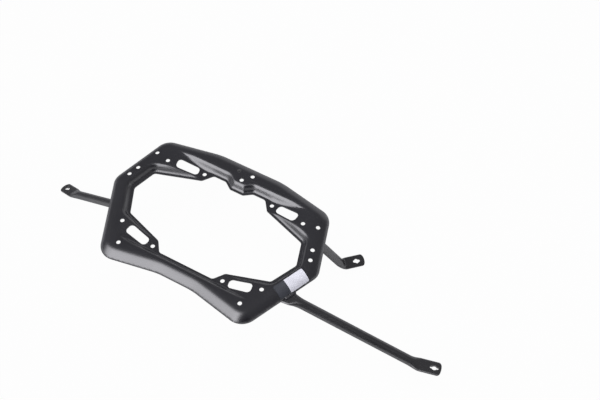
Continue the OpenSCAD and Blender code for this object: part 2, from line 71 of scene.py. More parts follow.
# A corner is x, y and the radius of its arc, and a span is where a range starts and ends
Corner = tuple[float, float, float]
Point = tuple[float, float, float]
Plan = tuple[float, float]
Span = tuple[float, float]
Array = np.ndarray
Piece = bpy.types.Object


class Slot(Enum):
    """Names of the record's material slots for the pieces."""

    POWDER_COAT = "powder_coat"
    TUBE_COAT = "tube_coat"
    LABEL_FILM = "label_film"


def unit(v: Sequence[float]) -> Array:
    """The vector scaled to length 1."""
    a = np.asarray(v, dtype=float)
    return a / np.linalg.norm(a)


# Shader building

class Value:
    """A shader socket that can be used in Python arithmetic."""

    def __init__(self, finish: "Finish", socket: bpy.types.NodeSocket) -> None:
        """Wraps a socket of the finish's node tree."""
        self.finish = finish
        self.socket = socket

    def _math(self, operation: str, *others: "Value | float") -> "Value":
        """A Math node on this value and the others."""
        return self.finish.node("ShaderNodeMath", {"operation": operation}, dict(enumerate((self, *others))))

    def __add__(self, other: "Value | float") -> "Value":
        """Sum."""
        return self._math("ADD", other)

    __radd__ = __add__

    def __mul__(self, other: "Value | float") -> "Value":
        """Product."""
        return self._math("MULTIPLY", other)

    __rmul__ = __mul__

    def __sub__(self, other: "Value | float") -> "Value":
        """Difference."""
        return self._math("SUBTRACT", other)

    def __rsub__(self, other: float) -> "Value":
        """Difference with this value taken away."""
        return self.finish.node("ShaderNodeMath", {"operation": "SUBTRACT"}, {0: other, 1: self})

    def between(self, low: float, high: float) -> "Value":
        """0 below low and 1 above high, with a soft step between them.

        Args:
            low: value at which the step starts.
            high: value at which it ends.
        Returns:
            The stepped value.
        """
        return self.finish.node("ShaderNodeMapRange", {"interpolation_type": "SMOOTHSTEP"}, {
            "Value": self, "From Min": low, "From Max": high, "To Min": 0.0, "To Max": 1.0})


class Finish:
    """A node tree under construction, for a material or the world."""

    def __init__(self, tree: bpy.types.NodeTree) -> None:
        """Empties the tree."""
        self.tree = tree
        tree.nodes.clear()

    def node(self, kind: str, settings: dict[str, object] | None = None,
             inputs: dict[int | str, object] | None = None, output: int | str = 0) -> Value:
        """Adds one node.

        Args:
            kind: the node's type.
            settings: the node's own settings, set before its sockets.
            inputs: values or links of its sockets, by name or place.
            output: the output that the returned value stands for.
        Returns:
            The chosen output as a Value.
        """
        made = self.tree.nodes.new(kind)
        for name, setting in (settings or {}).items():
            setattr(made, name, setting)
        for name, content in (inputs or {}).items():
            if isinstance(content, Value):
                self.tree.links.new(content.socket, made.inputs[name])
            else:
                made.inputs[name].default_value = content
        return Value(self, made.outputs[output] if made.outputs else made.inputs[0])

    def noise(self, place: Value, scale: float, detail: float, roughness: float = 0.5) -> Value:
        """A noise texture that is fixed to the object.

        Args:
            place: the object's own coordinates.
            scale: number of bumps in a metre.
            detail: number of finer layers.
            roughness: strength of each finer layer.
        Returns:
            The noise, from 0 to 1.
        """
        return self.node("ShaderNodeTexNoise", inputs={
            "Vector": place, "Scale": scale, "Detail": detail, "Roughness": roughness})

    def bump(self, height: Value, strength: float, depth_mm: float) -> Value:
        """Turns a height into a normal."""
        return self.node("ShaderNodeBump", inputs={
            "Strength": strength, "Distance": depth_mm * MM, "Height": height})

    def colour_mix(self, factor: Value, first: Sequence[float], second: Sequence[float]) -> Value:
        """Mixes two colours by a factor."""
        return self.node("ShaderNodeMix", {"data_type": "RGBA"},
                         {"Factor": factor, 6: (*first, 1.0), 7: (*second, 1.0)}, 2)


def blank_material(name: str) -> tuple[bpy.types.Material, Finish]:
    """Starts a material.

    Args:
        name: the material's name.
    Returns:
        The material and the finish that fills its node tree.
    """
    made = bpy.data.materials.new(name)
    made.use_nodes = True
    return made, Finish(made.node_tree)


@dataclass(frozen=True)
class CoatFinish:
    """Satin black powder coat with a fine orange peel."""

    name: str = "satin_powder_coat"
    low: Sequence[float] = (0.0088, 0.0088, 0.0125)
    high: Sequence[float] = (0.0130, 0.0130, 0.0180)
    roughness: float = 0.30
    refraction: float = 1.9
    drift_scale: float = 14.0
    speck_scale: float = 900.0
    drift_step: Span = (0.3, 0.7)
    speck_step: Span = (0.45, 0.75)
    drift_share: float = 0.6
    drift_rough: float = 0.08
    speck_rough: float = 0.06
    peel_mm: float = 1.3
    peel_depth: float = 0.05
    peel_strength: float = 0.35

    def material(self) -> bpy.types.Material:
        """Makes the material.

        Returns:
            A Principled material whose colour, roughness and bump vary as sprayed powder does.
        """
        made, f = blank_material(self.name)
        place = f.node("ShaderNodeTexCoord", output="Object")
        drift = f.noise(place, self.drift_scale, 3.0)
        speck = f.noise(place, self.speck_scale, 2.0)
        peel = f.noise(place, 1 / (self.peel_mm * MM), 1.5, 0.45)
        tone = drift.between(*self.drift_step) * self.drift_share
        tone += speck.between(*self.speck_step) * (1 - self.drift_share)
        rough = drift * self.drift_rough + speck * self.speck_rough
        rough += self.roughness - (self.drift_rough + self.speck_rough) / 2
        shader = f.node("ShaderNodeBsdfPrincipled", inputs={
            "Base Color": f.colour_mix(tone, self.low, self.high), "Roughness": rough,
            "Normal": f.bump(peel, self.peel_strength, self.peel_depth),
            "IOR": self.refraction, "Specular IOR Level": 1.0})
        f.node("ShaderNodeOutputMaterial", inputs={"Surface": shader})
        return made


@dataclass(frozen=True)
class FilmFinish:
    """Printed plastic film of one plain colour."""

    name: str
    colour: Sequence[float]
    shade: float = 0.92
    roughness: float = 0.38
    cloud_scale: float = 60.0
    cloud_step: Span = (0.35, 0.65)
    cloud_rough: float = 0.1
    fine_scale: float = 1600.0
    bump_depth: float = 0.03
    bump_strength: float = 0.15

    def material(self) -> bpy.types.Material:
        """Makes the material.

        Returns:
            A Principled material with the film's slight unevenness.
        """
        made, f = blank_material(self.name)
        place = f.node("ShaderNodeTexCoord", output="Object")
        cloud = f.noise(place, self.cloud_scale, 3.0)
        fine = f.noise(place, self.fine_scale, 1.0)
        dark = tuple(c * self.shade for c in self.colour)
        shader = f.node("ShaderNodeBsdfPrincipled", inputs={
            "Base Color": f.colour_mix(cloud.between(*self.cloud_step), dark, self.colour),
            "Roughness": cloud * self.cloud_rough + (self.roughness - self.cloud_rough / 2),
            "Normal": f.bump(fine, self.bump_strength, self.bump_depth)})
        f.node("ShaderNodeOutputMaterial", inputs={"Surface": shader})
        return made


# Plan outlines

def corner_arc(a: Array, b: Array, c: Array, radius: float, steps: int) -> list[Array]:
    """Rounds the corner b between a and c.

    Args:
        a: the corner before.
        b: the corner to round.
        c: the corner after.
        radius: radius of the arc, made smaller where the sides are too short for it.
        steps: number of chords in the arc.
    Returns:
        The arc's points.
    """
    u, v = unit(a - b), unit(c - b)
    half = math.acos(max(-1.0, min(1.0, float(u @ v)))) / 2
    back = min(radius / math.tan(half), SIDE_SHARE * min(np.linalg.norm(a - b), np.linalg.norm(c - b)))
    fitted = back * math.tan(half)
    centre = b + unit(u + v) * fitted / math.sin(half)
    p, q = b + u * back - centre, b + v * back - centre
    sweep = (math.pi - 2 * half) * math.copysign(1.0, p[0] * q[1] - p[1] * q[0])
    turns = [sweep * k / steps for k in range(steps + 1)]
    return [centre + np.array([p[0] * math.cos(w) - p[1] * math.sin(w),
                               p[0] * math.sin(w) + p[1] * math.cos(w)]) for w in turns]


class Outline:
    """A closed plan outline with rounded corners. Distances are measured for a batch of points at a time."""

    batch = 8000

    def __init__(self, corners: Sequence[Corner], steps: int = 14) -> None:
        """Rounds the corners.

        Args:
            corners: the corners, anticlockwise.
            steps: number of chords in each corner's arc.
        """
        plan = [np.array(c[:2], dtype=float) for c in corners]
        n = len(plan)
        self.points = np.array([p for i in range(n) for p in
                                corner_arc(plan[i - 1], plan[i], plan[(i + 1) % n], corners[i][2], steps)])

    def divided(self, longest: float) -> Array:
        """Divides the outline's longer steps.

        Args:
            longest: the longest step that is left as it is.
        Returns:
            The outline's points, one a row.
        """
        out = []
        for p, q in zip(self.points, np.roll(self.points, -1, axis=0)):
            n = max(1, math.ceil(float(np.linalg.norm(q - p)) / longest))
            out += [p + (q - p) * k / n for k in range(n)]
        return np.array(out)

    def outside(self, at: Array) -> Array:
        """Signed distance of plan points from the outline, positive outside it.

        Args:
            at: plan points, one a row.
        Returns:
            One distance for each point.
        """
        a, b = self.points, np.roll(self.points, -1, axis=0)
        e = b - a
        length2 = (e ** 2).sum(1)
        out = np.empty(len(at))
        for start in range(0, len(at), self.batch):
            p = at[start:start + self.batch]
            dx = p[:, None, 0] - a[None, :, 0]
            dy = p[:, None, 1] - a[None, :, 1]
            t = np.clip((dx * e[:, 0] + dy * e[:, 1]) / length2, 0, 1)
            near = np.sqrt(((dx - t * e[:, 0]) ** 2 + (dy - t * e[:, 1]) ** 2).min(1))
            above = p[:, None, 1] >= a[None, :, 1]
            crosses = above != (p[:, None, 1] >= b[None, :, 1])
            side = e[:, 0] * dy - e[:, 1] * dx
            inside = (crosses & ((side < 0) == above)).sum(1) % 2 == 1
            out[start:start + self.batch] = np.where(inside, -near, near)
        return out


def edge_frame(p: Sequence[float], q: Sequence[float]) -> tuple[float, float]:
    """Distance of a straight edge from the ring's middle, and the turn of its outward normal.

    Args:
        p: corner before, anticlockwise.
        q: corner after.
    Returns:
        The distance in millimetres and the turn in radians.
    """
    reach = (p[0] * q[1] - p[1] * q[0]) / math.dist(p[:2], q[:2])
    return reach, math.atan2(p[0] - q[0], q[1] - p[1])


def mirrored_outline(top: Sequence[Corner], low: Sequence[Corner]) -> list[Corner]:
    """Closes an outline from its right half.

    Args:
        top: corners from the right end up to the middle of the top.
        low: corners from the middle of the bottom to the right end.
    Returns:
        All corners, anticlockwise.
    """
    def flip(half: Sequence[Corner]) -> list[Corner]:
        """The same corners on the left, in the reverse order."""
        return [(-x, y, r) for x, y, r in reversed(half)]

    return [*top, *flip(top[1:]), (-top[0][0], top[0][1], top[0][2]), *flip(low), *low]


# Mesh helpers

def mesh_object(name: str, verts: Array, faces: Iterable[Sequence[int]],
                sharp_deg: float = SHARP_DEG) -> Piece:
    """Makes an object from points in millimetres.

    Args:
        name: the object's name.
        verts: points, one a row.
        faces: corner numbers of each face.
        sharp_deg: edges that turn by more than this are shaded as edges.
    Returns:
        The linked object.
    """
    mesh = bpy.data.meshes.new(name)
    mesh.from_pydata((np.asarray(verts) * MM).tolist(), [], [list(map(int, f)) for f in faces])
    mesh.validate()
    made = bpy.data.objects.new(name, mesh)
    bpy.context.collection.objects.link(made)
    shade(made, sharp_deg)
    return made


def shade(piece: Piece, sharp_deg: float) -> None:
    """Shades a piece smooth apart from its edges.

    Args:
        piece: the mesh to shade.
        sharp_deg: edges that turn by more than this are shaded as edges.
    """
    mesh = piece.data
    mesh.polygons.foreach_set("use_smooth", [True] * len(mesh.polygons))
    mesh.set_sharp_from_angle(angle=math.radians(sharp_deg))
    mesh.update()


def cut(piece: Piece, tool: Piece, operation: str = "DIFFERENCE") -> None:
    """Cuts a piece with a tool, which is then removed.

    Args:
        piece: the object that is cut.
        tool: the closed object that cuts it.
        operation: the Boolean modifier's operation.
    """
    modifier = piece.modifiers.new("cut", "BOOLEAN")
    modifier.operation = operation
    modifier.solver = "EXACT"
    modifier.object = tool
    graph = bpy.context.evaluated_depsgraph_get()
    done = bpy.data.meshes.new_from_object(piece.evaluated_get(graph))
    piece.modifiers.clear()
    piece.data = done
    bpy.data.objects.remove(tool, do_unlink=True)


def prism(name: str, profile: Sequence[Plan], length: float, place: Matrix) -> Piece:
    """A straight bar of a given profile.

    Args:
        name: the object's name.
        profile: corners in the local x and y plane.
        length: length along local z, centred.
        place: the bar's place, in millimetres.
    Returns:
        The linked object.
    """
    n = len(profile)
    ends = [[place @ Vector((x, y, z)) for x, y in profile] for z in (-length / 2, length / 2)]
    verts = np.array([tuple(p) for end in ends for p in end])
    faces = [list(range(n))[::-1], list(range(n, 2 * n))]
    faces += [[k, (k + 1) % n, n + (k + 1) % n, n + k] for k in range(n)]
    made = mesh_object(name, verts, faces)
    tidy_normals(made)
    return made


def tidy_normals(piece: Piece) -> None:
    """Turns all faces of a piece outward.

    Args:
        piece: a closed mesh.
    """
    work = bmesh.new()
    work.from_mesh(piece.data)
    bmesh.ops.recalc_face_normals(work, faces=work.faces)
    work.to_mesh(piece.data)
    work.free()


def ringed(name: str, rings: Sequence[Array], sharp_deg: float = SHARP_DEG, closed: bool = False) -> Piece:
    """A closed solid through rings of points.

    Args:
        name: the object's name.
        rings: equally long arrays of points.
        sharp_deg: edges that turn by more than this are shaded as edges.
        closed: True where the last ring meets the first, as in a hoop.
    Returns:
        The linked object.
    """
    n, m = len(rings[0]), len(rings)
    faces: list[list[int]] = []
    for i in range(m if closed else m - 1):
        j = (i + 1) % m
        faces += [[i * n + k, i * n + (k + 1) % n, j * n + (k + 1) % n, j * n + k] for k in range(n)]
    if not closed:
        faces += [list(range(n))[::-1], [(m - 1) * n + k for k in range(n)]]
    made = mesh_object(name, np.concatenate(rings), faces, sharp_deg)
    tidy_normals(made)
    shade(made, sharp_deg)
    return made


def fit_in(piece: Piece, slot: Slot, finishes: Sequence[bpy.types.Material], *nodes: str) -> None:
    """Dresses a piece and lets it stand for CAD nodes.

    Args:
        piece: the finished mesh.
        slot: the record's slot for it; not used.
        finishes: its materials, in slot order.
        nodes: the CAD nodes that it replaces.
    """
    for finish in finishes:
        piece.data.materials.append(finish)
    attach(piece, "root")
    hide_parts(*nodes)
    log.info("%s stands for %s with %d faces", piece.name, ", ".join(nodes), len(piece.data.polygons))


# The pressed plate

@dataclass
class PressedSheet:
    """Section and plan of the pressed ring."""

    thickness: float = 2.5
    lip_drop: float = 15.0
    lip_w: float = 2.0
    wall_deg: float = 70.0
    foot_r: float = 7.0
    top_r: float = 4.0
    flange_r: float = 27.0
    rim_drop: float = 16.5
    rim_land: float = 0.5
    ramp_from: float = 162.0
    ramp_to: float = 81.5
    ramp_ease: float = 0.8
    band_r: float = 6.0
    blend: float = 6.0
    blend_rim: float = 10.0
    blend_lip: Span = (3.0, 15.0)
    least_blend: float = 0.2
    blend_centre: float = 0.2
    blend_rings: Sequence[Plan] = ((0.55, 0.5), (1.0, 0.3))
    blend_spokes: int = 6
    rim_top: Sequence[Corner] = ((242, 0, 30), (200, 134, 36), (75, 158, 150))
    rim_low: Sequence[Corner] = ((40, -145, 150), (165, -168, 36))
    open_top: Sequence[Corner] = ((192.5, 0, 9), (176.5, 50.5, 9), (78.5, 82.5, 9), (62, 104.5, 9),
                                  (33, 104.5, 9), (15.5, 92, 9))
    open_low: Sequence[Corner] = ((62, -104.5, 9), (78.5, -82.5, 9), (165.5, -55, 9))
    rim: Outline = field(init=False)
    opening: Outline = field(init=False)
    band: Outline = field(init=False)
    flange_run: float = field(init=False)

    def __post_init__(self) -> None:
        """Works out the outlines and the flange's width."""
        self.rim = Outline(mirrored_outline(self.rim_top, self.rim_low))
        self.opening = Outline(mirrored_outline(self.open_top, self.open_low))
        end, root, foot = self.open_top[0], self.open_top[1], self.open_top[3]
        low_root = self.open_low[-1]
        top_x = end[0] - (end[0] - root[0]) / root[1] * foot[1]
        low_x = end[0] - (end[0] - low_root[0]) / -low_root[1] * foot[1]
        band_top = (end, (top_x, foot[1], self.band_r), self.open_top[4], self.open_top[5])
        self.band = Outline(mirrored_outline(band_top, ((low_x, -foot[1], self.band_r),)))
        drop = self.flange_r - self.rim_drop + self.rim_land
        self.flange_run = math.sqrt(self.flange_r ** 2 - drop ** 2)

    def wall(self, d: Array, t: float) -> Array:
        """Height of the wall that rises from the lip.

        Args:
            d: distances outward from the edge.
            t: depth in the sheet, 0 for the outer face.
        Returns:
            Heights below the crest.
        """
        a = math.radians(self.wall_deg)
        foot, top = (self.foot_r + t) * math.sin(a), (self.top_r - t) * math.sin(a)
        rise = self.foot_r * (1 - math.cos(a))
        face = (self.lip_drop - rise - self.top_r * (1 - math.cos(a))) / math.tan(a)
        run = self.foot_r * math.sin(a) + face + self.top_r * math.sin(a)
        s = d - self.lip_w
        low = -self.lip_drop - t + self.arc_drop(self.foot_r + t, np.clip(s, 0, foot))
        mid = -self.lip_drop + rise - t * math.cos(a) + (s - foot) * math.tan(a)
        high = -t - self.arc_drop(self.top_r - t, np.clip(run - s, 0, top))
        return np.where(s < foot, low, np.where(s < run - top, mid, high))

    def flange(self, d: Array, t: float) -> Array:
        """Height of the rolled flange at distances d inward from the rim."""
        return -t - self.arc_drop(self.flange_r - t, np.clip(self.flange_run - d, 0, self.flange_r - t))

    def ramp(self, x: Array, t: float) -> Array:
        """Height of the tabs, which slope from the corner holes to the tab holes.

        Args:
            x: places along the ring.
            t: depth in the sheet.
        Returns:
            Heights below the crest.
        """
        share = np.clip((self.ramp_from - np.abs(x)) / (self.ramp_from - self.ramp_to), 0, 1)
        soft = share * share * (3 - 2 * share)
        return -self.lip_drop * ((1 - self.ramp_ease) * share + self.ramp_ease * soft) - t

    @staticmethod
    def arc_drop(r: float, s: Array) -> Array:
        """Drop of an arc of radius r at a distance s from its tangent point."""
        return r - np.sqrt(np.maximum(0.0, r * r - s * s))

    def faces(self, at: Array) -> Array:
        """Heights of both faces before their creases are softened.

        Args:
            at: plan points, one a row.
        Returns:
            The outer face's heights and the inner face's.
        """
        band, edge, rim = self.band.outside(at), self.opening.outside(at), -self.rim.outside(at)
        made = []
        for t in (0.0, self.thickness):
            inside = np.maximum(self.wall(band, t), self.ramp(at[:, 0], t))
            made.append(np.minimum(inside, np.minimum(self.wall(edge, t), self.flange(rim, t))))
        return np.array(made)

    def heights(self, at: Array) -> Array:
        """Heights of both faces, averaged over a small disc that shrinks towards the sheet's edges.

        Args:
            at: plan points, one a row.
        Returns:
            The outer face's heights and the inner face's.
        """
        depth, lip = -self.rim.outside(at), self.opening.outside(at)
        start, full = self.blend_lip
        from_rim = np.clip(depth / self.blend_rim, 0, 1)
        from_lip = np.clip((lip - start) / (full - start), self.least_blend, 1)
        reach = self.blend * from_rim * from_lip
        total = self.faces(at) * self.blend_centre
        for share, weight in self.blend_rings:
            for k in range(self.blend_spokes):
                w = 2 * math.pi * k / self.blend_spokes
                step = np.outer(reach * share, (math.cos(w), math.sin(w)))
                total = total + self.faces(at + step) * weight / self.blend_spokes
        total[1] = np.where(depth < self.flange_run, np.maximum(total[1], -self.rim_drop), total[1])
        return total


@dataclass
class RingPlate:
    """The pressed ring with its bolt holes and slotted tabs."""

    sheet: PressedSheet = field(default_factory=PressedSheet)
    hole_d: float = 9.0
    corner_hole: Plan = (162.0, 84.0)
    tab_hole: Plan = (81.5, 98.5)
    top_outer_hole: Plan = (193.0, 90.5)
    low_outer_hole: Plan = (140.0, -129.5)
    end_hole: Plan = (207.5, 39.5)
    end_pitch: float = 23.0
    boss_hole: Plan = (16.0, 133.5)
    boss_low_hole: Plan = (0.0, 115.5)
    slot_l: float = 49.0
    slot_w: float = 22.0
    slot_narrow_w: float = 19.0
    slot_r: float = 8.0
    slot_mid: float = 44.0
    slot_out: float = 3.0
    slot_sides: int = 8
    hole_sides: int = 36
    hole_slack: float = 0.09
    grid_x: Span = (-246.0, 246.0)
    grid_y: Span = (-172.0, 162.0)
    grid_row: float = 0.866
    wall_reach: float = 16.5
    flange_reach: float = 25.5
    curved_pitch: float = 1.25
    flange_pitch: float = 2.4
    flat_pitch: float = 4.0
    edge_gap: float = 0.5
    hole_gap: float = 0.35
    rim_step: float = 1.8
    opening_step: float = 1.3
    slot_step: float = 1.5
    sharp_deg: float = 32.0

    def hole_centres(self) -> list[Array]:
        """Places all the round holes.

        Returns:
            Their centres in plan.
        """
        along = unit((self.sheet.rim_top[0][0] - self.sheet.rim_top[1][0], self.sheet.rim_top[1][1]))
        lower = (self.end_hole[0] + self.end_pitch * along[0], self.end_hole[1] - self.end_pitch * along[1])
        sides = [self.top_outer_hole, self.low_outer_hole, self.end_hole, lower, self.boss_hole]
        for x, y in (self.corner_hole, self.tab_hole):
            sides += [(x, y), (x, -y)]
        return [np.array((s * x, y)) for x, y in sides for s in (1, -1)] + [np.array(self.boss_low_hole)]

    def slot_outlines(self) -> list[Outline]:
        """Places the four slots, each along the line from a corner hole to its tab hole.

        Returns:
            One outline for each slot.
        """
        start, end = np.array(self.corner_hole), np.array(self.tab_hole)
        u = unit(end - start)
        out = np.array((u[1], -u[0]))
        half, wide = self.slot_l / 2, self.slot_w / 2
        local = [(-half, -wide), (half, -wide), (half, self.slot_narrow_w - wide), (-half, wide)]
        centre = start + u * self.slot_mid + out * self.slot_out
        plan = [centre + u * a + out * b for a, b in local]
        made = []
        for sx in (1, -1):
            for sy in (1, -1):
                corners = [(float(p[0]) * sx, float(p[1]) * sy, self.slot_r) for p in plan]
                made.append(Outline(corners, self.slot_sides))
        return made

    def grid(self, pitch: float) -> Array:
        """Lays a triangular grid over the plate's plan.

        Args:
            pitch: distance from point to point.
        Returns:
            The grid's points, one a row.
        """
        rows = np.arange(*self.grid_y, pitch * self.grid_row)
        cols = np.arange(*self.grid_x, pitch)
        return np.array([(x + (i % 2) * pitch / 2, y) for i, y in enumerate(rows) for x in cols])

    def is_clear(self, p: Array, slots: Sequence[Outline], hole_gap: float, slot_gap: float) -> Array:
        """Whether plan points lie clear of every hole and slot.

        Args:
            p: plan points, one a row.
            slots: the slots' outlines.
            hole_gap: least distance from a hole's edge.
            slot_gap: least distance from a slot's edge.
        Returns:
            True for each point that is clear.
        """
        clear = np.ones(len(p), dtype=bool)
        for centre in self.hole_centres():
            clear &= np.hypot(*(p - centre).T) > self.hole_d / 2 + hole_gap
        for slot in slots:
            clear &= slot.outside(p) > slot_gap
        return clear

    def fill(self, slots: Sequence[Outline]) -> list[Array]:
        """Lays plan points between the outlines, closest together where the sheet curves most.

        Args:
            slots: the slots' outlines.
        Returns:
            The points of the curved, the flange and the flat parts.
        """
        made = []
        parts = ((self.curved_pitch, self.is_curved), (self.flange_pitch, self.is_flange),
                 (self.flat_pitch, self.is_flat))
        for pitch, keep in parts:
            points, edge, gap = self.grid(pitch), pitch * self.edge_gap, pitch * self.hole_gap
            rim, opening = -self.sheet.rim.outside(points), self.sheet.opening.outside(points)
            points = points[(rim > edge) & (opening > edge)]
            points = points[keep(points)]
            made.append(points[self.is_clear(points, slots, gap, gap)])
        return made

    def build(self) -> Piece:
        """Meshes the plan finely, lifts it to the sheet's two faces and closes its edges.

        Returns:
            The plate.
        """
        sheet, slots = self.sheet, self.slot_outlines()
        turns = [2 * math.pi * k / self.hole_sides for k in range(self.hole_sides)]
        circle = np.array([(math.cos(w), math.sin(w)) for w in turns])
        loops = [sheet.rim.divided(self.rim_step), sheet.opening.divided(self.opening_step)]
        loops += [c + circle * self.hole_d / 2 for c in self.hole_centres()]
        loops += [slot.divided(self.slot_step) for slot in slots]
        edges: list[tuple[int, int]] = []
        start = 0
        for loop in loops:
            edges += [(start + k, start + (k + 1) % len(loop)) for k in range(len(loop))]
            start += len(loop)
        plan = np.concatenate(loops + self.fill(slots))
        points = [Vector(p) for p in plan]
        verts, _, faces, *_ = delaunay_2d_cdt(points, edges, [], WHOLE_PLAN, JOIN_WITHIN, False)
        flat, tris = np.array([tuple(v) for v in verts]), np.array(list(faces))
        mid = flat[tris].mean(1)
        inside = (sheet.rim.outside(mid) < 0) & (sheet.opening.outside(mid) > 0)
        tris = tris[inside & self.is_clear(mid, slots, -self.hole_slack, 0.0)]
        outer, below = sheet.heights(flat)
        n = len(flat)
        lifted = np.concatenate([np.c_[flat, outer], np.c_[flat, below]])
        a, b, c = flat[tris[:, 0]], flat[tris[:, 1]], flat[tris[:, 2]]
        turned = ((b - a)[:, 0] * (c - a)[:, 1] - (b - a)[:, 1] * (c - a)[:, 0]) < 0
        tris[turned] = tris[turned][:, ::-1]
        sides = np.concatenate([tris[:, [0, 1]], tris[:, [1, 2]], tris[:, [2, 0]]])
        there = {(int(p), int(q)) for p, q in sides}
        walls = [[q, p, p + n, q + n] for p, q in there if (q, p) not in there]
        sheets = [*tris.tolist(), *(tris[:, ::-1] + n).tolist()]
        return mesh_object("plate", lifted, [*sheets, *walls], self.sharp_deg)

    def is_curved(self, p: Array) -> Array:
        """Whether plan points lie where the sheet is tightly curved."""
        near_open, near_band = self.sheet.opening.outside(p), self.sheet.band.outside(p)
        return (near_open < self.wall_reach) | ((near_band > -1) & (near_band < self.wall_reach))

    def is_flange(self, p: Array) -> Array:
        """Whether plan points lie on the rolled flange."""
        return (-self.sheet.rim.outside(p) < self.flange_reach) & ~self.is_curved(p)

    def is_flat(self, p: Array) -> Array:
        """Whether plan points lie on the flat crest or a ramp."""
        return (-self.sheet.rim.outside(p) >= self.flange_reach) & ~self.is_curved(p)


# The struts

def under_sheet(sheet: PressedSheet, p: Sequence[float], q: Sequence[float], fit: float) -> Piece:
    """The room under the sheet beside a straight part of the rim.

    Args:
        sheet: the pressed sheet.
        p: rim corner before, anticlockwise.
        q: rim corner after.
        fit: clearance from the sheet.
    Returns:
        A closed object that fills the room.
    """
    r = sheet.flange_r - sheet.thickness - fit
    foot = math.acos((sheet.flange_r - sheet.rim_drop - fit) / r)
    steps, back, far, length = 24, 60, 300, 800
    turns = [foot * k / steps for k in range(steps + 1)]
    arc = [(r * math.sin(w), r * math.cos(w) - sheet.flange_r) for w in turns]
    profile = [(-back, -far), (-back, -sheet.thickness - fit), *arc,
               (far, -sheet.rim_drop - fit), (far, -far)]
    reach, turn = edge_frame(p, q)
    inward = Matrix.Translation((reach - sheet.flange_run, 0, 0))
    upright = Matrix.Rotation(math.pi / 2, 4, "X")
    return prism("room", profile, length, Matrix.Rotation(turn, 4, "Z") @ inward @ upright)


def beside_wall(sheet: PressedSheet, p: Sequence[float], q: Sequence[float], fit: float) -> Piece:
    """What a tube keeps clear of beside the wall that rises from a straight edge of the opening.

    Args:
        sheet: the pressed sheet.
        p: corner of the opening before, anticlockwise.
        q: corner of the opening after.
        fit: clearance from the wall.
    Returns:
        A closed object that cuts the tube back.
    """
    a = math.radians(sheet.wall_deg)
    rise = sheet.foot_r * (1 - math.cos(a))
    reach, turn = edge_frame(p, q)
    foot = reach + sheet.lip_w + sheet.foot_r * math.sin(a) + sheet.thickness / math.sin(a) + fit
    below, length, head_drop, head_x, head_z = 80, 600, 1.0, 1.6, 1.1
    knee, top = rise - sheet.lip_drop, -sheet.thickness - head_drop
    shoulder = foot + (top - knee) / math.tan(a)
    profile = [(0, -below), (foot, -below), (foot, knee), (shoulder, top),
               (shoulder + head_x, top + head_z), (0, 0)]
    upright = Matrix.Rotation(math.pi / 2, 4, "X")
    return prism("wall_side", profile, length, Matrix.Rotation(turn, 4, "Z") @ upright)


def leaned(flat: Array, lean_deg: float) -> Array:
    """Face direction of a flattened end: upward, leaned about the end's own line.

    Args:
        flat: direction of the flattened end.
        lean_deg: lean in degrees.
    Returns:
        The direction that its face looks in.
    """
    level = unit(np.cross((0, 0, 1), flat))
    up = np.cross(flat, level)
    return up * math.cos(math.radians(lean_deg)) + level * math.sin(math.radians(lean_deg))


